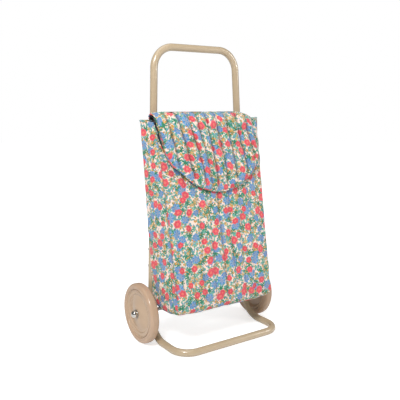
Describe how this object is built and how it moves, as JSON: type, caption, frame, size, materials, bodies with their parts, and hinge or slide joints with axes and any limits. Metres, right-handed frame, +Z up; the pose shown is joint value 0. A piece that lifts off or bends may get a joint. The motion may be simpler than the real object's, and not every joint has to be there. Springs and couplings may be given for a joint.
{
  "type": "toy shopping trolley",
  "caption": "Toy shopping trolley: a bent-tube frame on disc wheels carries a quilted fabric bag with a rounded flap that lifts at its folds.",
  "frame": {"origin": "on the floor, under the middle of the footprint", "axes": "+X is across the trolley, along the axle and the handle bar; +Y runs from the bag's front, with its flap, to the uprights at its back; +Z is up"},
  "size_m": [0.2952, 0.1647, 0.526],
  "materials": {
    "powder_coat": "beige powder coat, fine texture, satin",
    "plug_nylon": "moulded nylon",
    "zinc_screw": "zinc plated",
    "axle_steel": "zinc-plated rod",
    "spacer_nylon": "moulded nylon",
    "chrome_cap": "polished chrome",
    "tyre_beige": "moulded soft plastic, glossy",
    "disc_beige": "moulded plastic, glossy",
    "bush_nylon": "moulded nylon",
    "floral_cotton": "quilted printed cotton, small flowers",
    "lining_cotton": "dark woven cotton",
    "board": "pressed board",
    "binding_cotton": "bias-cut printed cotton",
    "hook_and_loop": "woven nylon hook and loop"
  },
  "bodies": {
    "frame": {"handle_tube": "powder_coat", "base_tube": "powder_coat", "left_joint_plug": "plug_nylon", "right_joint_plug": "plug_nylon", "joint_screws": "zinc_screw", "axle": "axle_steel", "left_spacer": "spacer_nylon", "right_spacer": "spacer_nylon", "axle_washers": "axle_steel", "left_axle_cap": "chrome_cap", "right_axle_cap": "chrome_cap", "bag_shell": "floral_cotton", "bag_lining": "lining_cotton", "base_board": "board", "mouth_binding": "binding_cotton", "left_tube_sleeve": "floral_cotton", "right_tube_sleeve": "floral_cotton", "bag_patch": "hook_and_loop"},
    "left_wheel": {"left_tyre": "tyre_beige", "left_wheel_disc": "disc_beige", "left_bush": "bush_nylon"},
    "right_wheel": {"right_tyre": "tyre_beige", "right_wheel_disc": "disc_beige", "right_bush": "bush_nylon"},
    "flap_top": {"flap_top": "floral_cotton", "flap_top_binding": "binding_cotton"},
    "flap_front": {"flap_front": "floral_cotton", "flap_binding": "binding_cotton", "flap_patch": "hook_and_loop"}
  },
  "joints": [
    {"name": "left_wheel_spin", "type": "hinge", "parent": "frame", "child": "left_wheel", "pos_m": [-0.1282, 0.02852, 0.0538], "axis": [1, 0, 0], "continuous": true},
    {"name": "right_wheel_spin", "type": "hinge", "parent": "frame", "child": "right_wheel", "pos_m": [0.1282, 0.02852, 0.0538], "axis": [1, 0, 0], "continuous": true},
    {"name": "flap_lift", "type": "hinge", "parent": "frame", "child": "flap_top", "pos_m": [0, 0.02895, 0.4], "axis": [-1, 0, 0], "range_deg": [0, 75]},
    {"name": "flap_fold", "type": "hinge", "parent": "flap_top", "child": "flap_front", "pos_m": [0, -0.01275, 0.4], "axis": [-1, 0, 0], "range_deg": [0, 80]}
  ]
}
